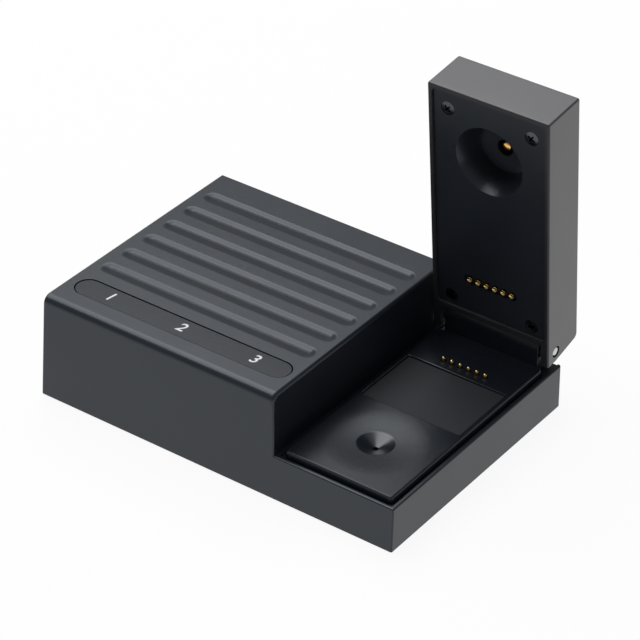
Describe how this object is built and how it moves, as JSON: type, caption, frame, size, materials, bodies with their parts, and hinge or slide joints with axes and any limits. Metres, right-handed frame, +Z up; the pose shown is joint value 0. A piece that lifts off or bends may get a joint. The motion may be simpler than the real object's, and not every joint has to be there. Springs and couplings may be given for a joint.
{
  "type": "diamond tester",
  "caption": "Bench tester for loose stones: L-shaped black housing, grooved top with an indicator window, dished tray with a well, and a hinged lid with a light cup.",
  "frame": {"origin": "middle of the footprint, with the lid open, on the surface that the four feet stand on", "axes": "+Z up; the front wall with the indicator window faces -Y; the tray and its lid are on the +X side"},
  "size_m": [0.1106, 0.0836, 0.0922],
  "materials": {
    "housing_plastic": "satin black, very fine moulded texture",
    "lid_plastic": "satin black, very fine moulded texture",
    "tray_plastic": "satin black, fine grain",
    "cover_plastic": "matt black",
    "window_plastic": "dark tinted, semi-gloss, with plain numbers",
    "label_film": "black semi-gloss film, bare",
    "foot_rubber": "matt",
    "insulator_plastic": "black, glass-filled",
    "baffle_plastic": "white, diffusing",
    "lamp_epoxy": "clear epoxy",
    "board_laminate": "green solder mask",
    "chip_plastic": "moulded epoxy",
    "cell_wrap": "blue film over a metal can",
    "bright_steel": "bright",
    "screw_steel": "black oxide",
    "gold_contact": "gold plated",
    "washer_nylon": "black nylon"
  },
  "bodies": {
    "base": {"main_housing": "housing_plastic", "bottom_cover": "cover_plastic", "foot_1": "foot_rubber", "foot_2": "foot_rubber", "foot_3": "foot_rubber", "foot_4": "foot_rubber", "cover_screw_1": "screw_steel", "cover_screw_2": "screw_steel", "cover_screw_3": "screw_steel", "cover_screw_4": "screw_steel", "indicator_window": "window_plastic", "light_box": "baffle_plastic", "lamp_1": "lamp_epoxy", "lamp_2": "lamp_epoxy", "lamp_3": "lamp_epoxy", "lamp_board": "board_laminate", "main_board": "board_laminate", "battery_cell": "cell_wrap", "battery_holder": "insulator_plastic", "buzzer": "chip_plastic", "control_chip": "chip_plastic", "light_sensor": "bright_steel", "power_inlet": "bright_steel", "switch_body": "chip_plastic", "tray_plate": "tray_plastic", "label_plate": "label_film", "contact_block": "insulator_plastic", "contact_spring_1": "bright_steel", "contact_spring_2": "bright_steel", "contact_spring_3": "bright_steel", "contact_spring_4": "bright_steel", "contact_spring_5": "bright_steel", "contact_spring_6": "bright_steel", "hinge_pin": "bright_steel", "hinge_washer_left": "washer_nylon", "hinge_washer_right": "washer_nylon"},
    "lid": {"lid_shell": "lid_plastic", "lid_panel": "tray_plastic", "lid_screw_1": "screw_steel", "lid_screw_2": "screw_steel", "lid_screw_3": "screw_steel", "lid_screw_4": "screw_steel", "lid_board": "board_laminate", "light_emitter": "gold_contact", "contact_strip": "insulator_plastic", "contact_pad_1": "gold_contact", "contact_pad_2": "gold_contact", "contact_pad_3": "gold_contact", "contact_pad_4": "gold_contact", "contact_pad_5": "gold_contact", "contact_pad_6": "gold_contact"},
    "power_slider": {"switch_slider": "insulator_plastic"},
    "plunger_1": {"contact_pin_1": "gold_contact"},
    "plunger_2": {"contact_pin_2": "gold_contact"},
    "plunger_3": {"contact_pin_3": "gold_contact"},
    "plunger_4": {"contact_pin_4": "gold_contact"},
    "plunger_5": {"contact_pin_5": "gold_contact"},
    "plunger_6": {"contact_pin_6": "gold_contact"}
  },
  "joints": [
    {"name": "lid_hinge", "type": "hinge", "parent": "base", "child": "lid", "pos_m": [0.0373, 0.03145, 0.0192], "axis": [1, 0, 0], "range_deg": [-10, 84.3]},
    {"name": "power_slide", "type": "slide", "parent": "base", "child": "power_slider", "axis": [1, 0, 0], "range_m": [0, 0.003]},
    {"name": "plunger_1_travel", "type": "slide", "parent": "base", "child": "plunger_1", "axis": [0, 0, -1], "range_m": [0, 0.0009], "stiffness_N_per_m": 300, "springref_m": -0.0005, "deforming": ["contact_spring_1"]},
    {"name": "plunger_2_travel", "type": "slide", "parent": "base", "child": "plunger_2", "axis": [0, 0, -1], "range_m": [0, 0.0009], "stiffness_N_per_m": 300, "springref_m": -0.0005, "deforming": ["contact_spring_2"]},
    {"name": "plunger_3_travel", "type": "slide", "parent": "base", "child": "plunger_3", "axis": [0, 0, -1], "range_m": [0, 0.0009], "stiffness_N_per_m": 300, "springref_m": -0.0005, "deforming": ["contact_spring_3"]},
    {"name": "plunger_4_travel", "type": "slide", "parent": "base", "child": "plunger_4", "axis": [0, 0, -1], "range_m": [0, 0.0009], "stiffness_N_per_m": 300, "springref_m": -0.0005, "deforming": ["contact_spring_4"]},
    {"name": "plunger_5_travel", "type": "slide", "parent": "base", "child": "plunger_5", "axis": [0, 0, -1], "range_m": [0, 0.0009], "stiffness_N_per_m": 300, "springref_m": -0.0005, "deforming": ["contact_spring_5"]},
    {"name": "plunger_6_travel", "type": "slide", "parent": "base", "child": "plunger_6", "axis": [0, 0, -1], "range_m": [0, 0.0009], "stiffness_N_per_m": 300, "springref_m": -0.0005, "deforming": ["contact_spring_6"]}
  ]
}
